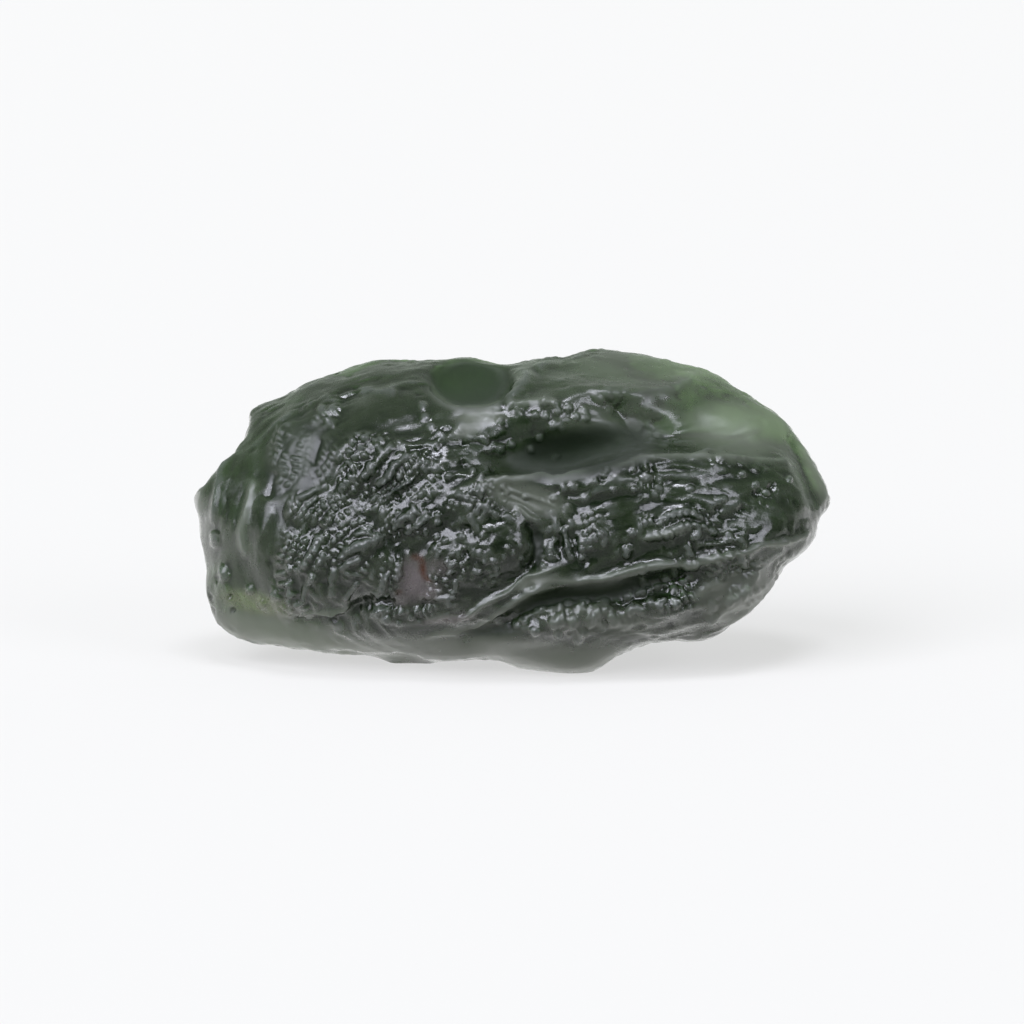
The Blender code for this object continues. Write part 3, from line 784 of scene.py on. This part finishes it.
def settle(skin):
    """Moves each point out by its relief, which fades towards the ground to keep the flat spot flat."""
    fade = smoothstep(*GROUND_FADE, skin.points[:, 2])
    moved = skin.points + skin.normals * (skin.stands * fade)[:, None]
    moved[:, 2] = np.maximum(moved[:, 2], 0) * smoothstep(*GROUND_SQUASH, skin.points[:, 2])
    return moved


def store(mesh, name, values):
    """Keeps one number for each point of the mesh, for the material to read."""
    layer = mesh.attributes.new(name, "FLOAT", "POINT")
    layer.data.foreach_set("value", values.astype(np.float32))


def make_stone():
    """Makes the finished stone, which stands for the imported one."""
    mesh = fine_skin()
    skin = Skin(mesh)
    calm = np.zeros(len(skin.points))
    for middle, radii, turn, share in CALM:
        calm = np.maximum(calm, share * patch(skin, middle, radii, turn))
    skin.marks["calm"] = calm
    rounded = np.column_stack([skin.local_mean(values, ROUNDINGS) for values in skin.points.T])
    even = np.column_stack([skin.local_mean(values, CALM_ROUNDINGS) for values in rounded.T])
    rounded += (even - rounded) * calm[:, None]
    depth = skin.local_mean(rounded[:, 1], FOOT_PASSES)
    rounded[:, 1] += (depth - rounded[:, 1]) * patch(skin, *LEFT_FOOT)
    shift = rounded - skin.points
    shift[:, 2] *= smoothstep(*GROUND_ROUNDING, skin.points[:, 2])
    skin.points += shift
    etch_all_round(skin)
    etch_face(skin)
    mark_colours(skin)
    mesh.vertices.foreach_set("co", settle(skin).ravel())
    # How far each point stands proud of its near and wide surroundings: from it the material paints shade in
    # the hollows and a sheen on the crests
    near_mean = skin.local_mean(skin.stands, NEAR_PASSES)
    wide_mean = skin.local_mean(near_mean, WIDE_PASSES)
    proud = (skin.stands - near_mean) / NEAR_STEP + (near_mean - wide_mean) / WIDE_STEP
    store(mesh, "crest", np.clip(LEVEL_CREST + proud, 0, 1))
    for name, values in skin.marks.items():
        store(mesh, name, values)
    stone = bpy.data.objects.new("moldavite_glass", mesh)
    bpy.context.scene.collection.objects.link(stone)
    thinned = stone.modifiers.new("thinned", "DECIMATE")
    thinned.ratio = TRIANGLES / sum(len(face.vertices) - 2 for face in mesh.polygons)
    graph = bpy.context.evaluated_depsgraph_get()
    kept = bpy.data.meshes.new_from_object(stone.evaluated_get(graph))
    stone.modifiers.clear()
    stone.data = kept
    kept.transform(Matrix.Scale(MM, 4))
    for face in kept.polygons:
        face.use_smooth = True
    kept.materials.clear()
    kept.materials.append(green_glass())
    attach(stone, "root")
    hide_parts("moldavite")


def add(tree, kind, **settings):
    """A new node with its settings made."""
    node = tree.nodes.new(kind)
    for name, value in settings.items():
        setattr(node, name, value)
    return node


def mark_value(tree, name):
    """The number that the mesh keeps under this name."""
    return add(tree, "ShaderNodeAttribute", attribute_name=name).outputs["Fac"]


def math_node(tree, operation, first, second):
    """One sum of two numbers or sockets."""
    node = add(tree, "ShaderNodeMath", operation=operation)
    for socket, value in zip(node.inputs, (first, second)):
        if isinstance(value, bpy.types.NodeSocket):
            tree.links.new(value, socket)
        else:
            socket.default_value = value
    return node.outputs[0]


def grain_of(tree, scale, detail, shift=0.0):
    """Fine random grain on the stone's own coordinates, with the given number of lumps to a metre."""
    place = add(tree, "ShaderNodeTexCoord")
    grain = add(tree, "ShaderNodeTexNoise", noise_dimensions="4D")
    tree.links.new(place.outputs["Object"], grain.inputs["Vector"])
    grain.inputs["W"].default_value = shift
    grain.inputs["Scale"].default_value = scale
    grain.inputs["Detail"].default_value = detail
    return grain.outputs["Fac"]


def ramp(tree, value, *stops):
    """A colour for each level of a value, given as (level, colour) pairs."""
    node = add(tree, "ShaderNodeValToRGB")
    band = node.color_ramp
    while len(band.elements) < len(stops):
        band.elements.new(0.5)
    for element, (level, colour) in zip(band.elements, stops):
        element.position = level
        element.color = (*colour, 1)
    tree.links.new(value, node.inputs["Fac"])
    return node.outputs["Color"]


def blend_colour(tree, share, first, second):
    """The first colour, with the second over it by the share."""
    node = add(tree, "ShaderNodeMix", data_type="RGBA")
    sockets = [socket for socket in node.inputs if socket.type == "RGBA"]
    tree.links.new(share, node.inputs["Factor"])
    for socket, value in zip(sockets, (first, second)):
        if isinstance(value, bpy.types.NodeSocket):
            tree.links.new(value, socket)
        else:
            socket.default_value = (*value, 1)
    return next(socket for socket in node.outputs if socket.type == "RGBA")


def map_value(tree, value, low, high, to_low, to_high):
    """Stretches a value from one range to another."""
    node = add(tree, "ShaderNodeMapRange")
    tree.links.new(value, node.inputs["Value"])
    for name, number in zip(("From Min", "From Max", "To Min", "To Max"), (low, high, to_low, to_high)):
        node.inputs[name].default_value = number
    return node.outputs["Result"]


def green_glass():
    """Etched green natural glass: clear deep green, painted darker as shade in its hollows and paler as a sheen
    on its crests, with painted glow, highlights and shade and real stains where it is marked.
    """
    material = bpy.data.materials.new("green_glass")
    material.use_nodes = True
    tree = material.node_tree
    shader = tree.nodes["Principled BSDF"]
    shader.inputs["Metallic"].default_value = 0.0
    shader.inputs["IOR"].default_value = GLASS_IOR
    shader.inputs["Transmission Weight"].default_value = TRANSMISSION

    crest = mark_value(tree, "crest")
    calm = mark_value(tree, "calm")
    cloud = grain_of(tree, 420, 3, 1.0)
    speck = grain_of(tree, 2600, 3, 4.0)
    # Painted shade in the hollows and a painted sheen on the crests, from how far each point stands proud, with
    # a random cloudy tone
    level = math_node(tree, "ADD", crest, map_value(tree, cloud, 0.3, 0.7, -0.15, 0.15))
    colour = ramp(tree, level, (0.15, HOLLOW_SHADE_COLOUR), (0.5, MIDDLE_COLOUR), (0.95, CREST_SHEEN_COLOUR))
    pale = mark_value(tree, "pale")
    deep = mark_value(tree, "deep")
    frost_and_sheen = mark_value(tree, "frost_and_sheen")
    # A painted sheen on frosted crest tops, painted glow and highlights where marked pale, and painted shade
    # where marked deep
    colour = blend_colour(tree, frost_and_sheen, colour, FROST_SHEEN_COLOUR)
    colour = blend_colour(tree, pale, colour, PAINTED_GLOW_COLOUR)
    colour = blend_colour(tree, deep, colour, PAINTED_SHADE_COLOUR)
    colour = blend_colour(tree, mark_value(tree, "moss"), colour, MOSS_COLOUR)
    colour = blend_colour(tree, mark_value(tree, "pink"), colour, PINK_COLOUR)
    colour = blend_colour(tree, mark_value(tree, "red"), colour, RED_COLOUR)
    tree.links.new(colour, shader.inputs["Base Color"])

    rough = map_value(tree, crest, 0.2, 0.9, 0.20, 0.28)
    rough = math_node(tree, "ADD", rough, map_value(tree, speck, 0.3, 0.7, -0.05, 0.08))
    for mark, more in ((frost_and_sheen, FROST_ROUGHNESS), (pale, PALE_ROUGHNESS), (deep, DEEP_ROUGHNESS)):
        rough = math_node(tree, "ADD", rough, math_node(tree, "MULTIPLY", mark, more))
    tree.links.new(rough, shader.inputs["Roughness"])

    beads = mark_value(tree, "beaded")
    for name in ("row", "rung"):
        swing = math_node(tree, "COSINE", math_node(tree, "MULTIPLY", mark_value(tree, name), 2 * pi), 0.0)
        beads = math_node(tree, "MULTIPLY", beads, map_value(tree, swing, -1, 1, 0, 1))
    relief = math_node(tree, "MULTIPLY", beads, BEAD_BUMP)
    fine = grain_of(tree, 3200, 2, 9.0)
    fine = math_node(tree, "MULTIPLY", fine, map_value(tree, calm, 0, 1, 0.6, 0.2))
    relief = math_node(tree, "ADD", relief, fine)
    bump = add(tree, "ShaderNodeBump")
    bump.inputs["Strength"].default_value = BUMP_STRENGTH
    bump.inputs["Distance"].default_value = BUMP_DEPTH * MM
    tree.links.new(relief, bump.inputs["Height"])
    tree.links.new(bump.outputs["Normal"], shader.inputs["Normal"])

    body = add(tree, "ShaderNodeVolumeAbsorption")
    body.inputs["Color"].default_value = BODY_COLOUR
    body.inputs["Density"].default_value = BODY_DENSITY
    tree.links.new(body.outputs["Volume"], tree.nodes["Material Output"].inputs["Volume"])
    return material


def make_floor():
    """Lays the plain pale floor that fills the picture."""
    mesh = bpy.data.meshes.new("floor")
    shape = bmesh.new()
    bmesh.ops.create_grid(shape, x_segments=1, y_segments=1, size=FLOOR_REACH)
    shape.to_mesh(mesh)
    shape.free()
    floor = bpy.data.objects.new("floor", mesh)
    bpy.context.scene.collection.objects.link(floor)
    material = bpy.data.materials.new("pale_floor")
    material.use_nodes = True
    shader = material.node_tree.nodes["Principled BSDF"]
    shader.inputs["Base Color"].default_value = FLOOR_COLOUR
    shader.inputs["Emission Strength"].default_value = 1.0
    tree = material.node_tree
    place = add(tree, "ShaderNodeTexCoord")
    split = add(tree, "ShaderNodeSeparateXYZ")
    tree.links.new(place.outputs["Object"], split.inputs["Vector"])
    nearness = map_value(tree, split.outputs["Y"], *UNDER_STONE, *FLOOR_GLOW)
    ray = add(tree, "ShaderNodeLightPath")
    glow = add(tree, "ShaderNodeMix", data_type="FLOAT")
    tree.links.new(ray.outputs["Is Camera Ray"], glow.inputs[0])
    tree.links.new(nearness, glow.inputs[2])
    seen = map_value(tree, split.outputs["Y"], *SEEN_FLOOR, *SEEN_FLOOR_GLOW)
    tree.links.new(seen, glow.inputs[3])
    tree.links.new(glow.outputs[0], shader.inputs["Emission Color"])
    shader.inputs["Roughness"].default_value = 1.0
    shader.inputs["Specular IOR Level"].default_value = 0.0
    mesh.materials.append(material)


def make_surroundings():
    """A pale studio: bright above and behind the stone, and dark on the camera's side."""
    world = bpy.data.worlds.new("studio")
    bpy.context.scene.world = world
    world.use_nodes = True
    tree = world.node_tree
    tree.nodes.clear()
    output = add(tree, "ShaderNodeOutputWorld")
    place = add(tree, "ShaderNodeTexCoord")
    split = add(tree, "ShaderNodeSeparateXYZ")
    tree.links.new(place.outputs["Generated"], split.inputs["Vector"])
    behind = ramp(
        tree, map_value(tree, split.outputs["Y"], -1, 1, 0, 1),
        (0.0, (0.03, 0.035, 0.03)), (0.4, (0.09, 0.10, 0.09)),
        (0.6, (0.36, 0.40, 0.36)), (1.0, (0.56, 0.62, 0.56)),
    )
    above = ramp(
        tree, split.outputs["Z"],
        (0.15, (0.0, 0.0, 0.0)), (0.6, (0.6, 0.6, 0.6)), (1.0, (1.0, 1.0, 1.0)),
    )
    light = blend_colour(tree, above, behind, (0.36, 0.39, 0.37))
    lit = add(tree, "ShaderNodeBackground")
    tree.links.new(light, lit.inputs["Color"])
    plain = add(tree, "ShaderNodeBackground")
    plain.inputs["Color"].default_value = BACKDROP
    ray = add(tree, "ShaderNodeLightPath")
    either = add(tree, "ShaderNodeMixShader")
    tree.links.new(ray.outputs["Is Camera Ray"], either.inputs["Fac"])
    tree.links.new(lit.outputs[0], either.inputs[1])
    tree.links.new(plain.outputs[0], either.inputs[2])
    tree.links.new(either.outputs[0], output.inputs["Surface"])


def softbox(name, azimuth, elevation, spread, radiance):
    """A square soft light, with the angles at which it stands and how wide it looks, in degrees."""
    turn, rise = radians(azimuth), radians(elevation)
    toward = Vector((sin(turn) * cos(rise), -cos(turn) * cos(rise), sin(rise)))
    side = 2 * SOFTBOX_DISTANCE * tan(radians(spread) / 2)
    light = bpy.data.lights.new(name, "AREA")
    light.shape = "SQUARE"
    light.size = side
    light.energy = radiance * pi * side**2
    light.color = SOFTBOX_COLOUR
    lamp = bpy.data.objects.new(name, light)
    bpy.context.scene.collection.objects.link(lamp)
    lamp.location = Vector(FACE_MIDDLE) * MM + toward * SOFTBOX_DISTANCE
    lamp.rotation_euler = toward.to_track_quat("Z", "Y").to_euler()


def make_camera():
    """The camera at the photograph's place. Its frame is square."""
    camera = bpy.data.cameras.new("camera")
    camera.sensor_width = SENSOR
    camera.lens = SENSOR * CAMERA_DISTANCE / (PHOTO_SIDE * MM_PER_PIXEL)
    camera.clip_start = 0.01
    camera.clip_end = 50
    holder = bpy.data.objects.new("camera", camera)
    bpy.context.scene.collection.objects.link(holder)
    backward = Vector((0, -cos(CAMERA_ELEVATION), sin(CAMERA_ELEVATION)))
    holder.location = (Vector(FACE_MIDDLE) + backward * CAMERA_DISTANCE) * MM
    holder.rotation_euler = backward.to_track_quat("Z", "Y").to_euler()
    bpy.context.scene.camera = holder


def set_picture():
    """Plain colours, and enough bounces for light to cross the glass."""
    scene = bpy.context.scene
    scene.view_settings.view_transform = "Standard"
    scene.cycles.use_denoising = True
    scene.cycles.caustics_reflective = False
    scene.cycles.caustics_refractive = False
    scene.cycles.max_bounces = 16
    scene.cycles.transmission_bounces = 12


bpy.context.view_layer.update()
make_stone()
make_floor()
make_surroundings()
softbox("key softbox", -36, 38, 42, 10.0)
softbox("left softbox", -62, 14, 24, 5.0)
softbox("right softbox", 50, 26, 24, 8.0)
softbox("top softbox", 16, 72, 18, 22.0)
make_camera()
set_picture()
